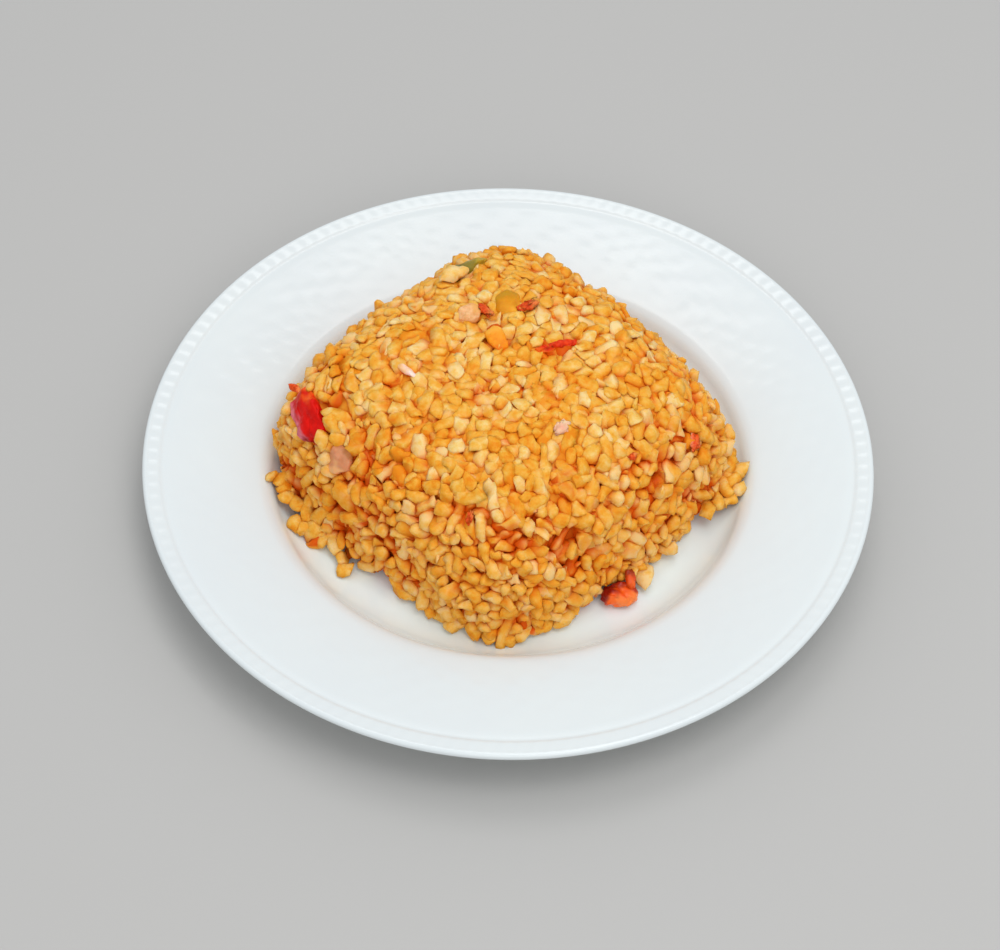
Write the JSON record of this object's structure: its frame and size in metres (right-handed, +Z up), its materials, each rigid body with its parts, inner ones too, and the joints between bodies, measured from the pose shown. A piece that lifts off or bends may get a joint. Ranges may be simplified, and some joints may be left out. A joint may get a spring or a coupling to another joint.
{
  "type": "bulgur pilaf on a plate",
  "caption": "Moulded mound of orange bulgur pilaf with bits of red and green pepper, tomato and onion on a white porcelain dinner plate with a beaded rim.",
  "frame": {"origin": "centre of the plate's foot ring, on the surface it stands on", "axes": "+Z up, +X to the right and +Y away from the front corner of the mound"},
  "size_m": [0.2648, 0.2648, 0.0664],
  "materials": {
    "porcelain": "white glazed porcelain",
    "bulgur": "plump cooked wheat grains with an oily orange sauce",
    "red_vegetable": "cooked red pepper and tomato, wet",
    "orange_pepper": "cooked orange pepper, wet",
    "green_pepper": "cooked green pepper, wet",
    "onion": "cooked onion, translucent and wet"
  },
  "bodies": {
    "root": {"plate": "porcelain", "pilaf": "bulgur", "pepper_red": "red_vegetable", "tomato_shred": "red_vegetable", "tomato_foot": "red_vegetable", "pepper_orange": "orange_pepper", "pepper_green_strip": "green_pepper", "pepper_green_square": "green_pepper", "onion_browned": "onion", "onion_beige": "onion", "onion_white": "onion"}
  },
  "joints": []
}
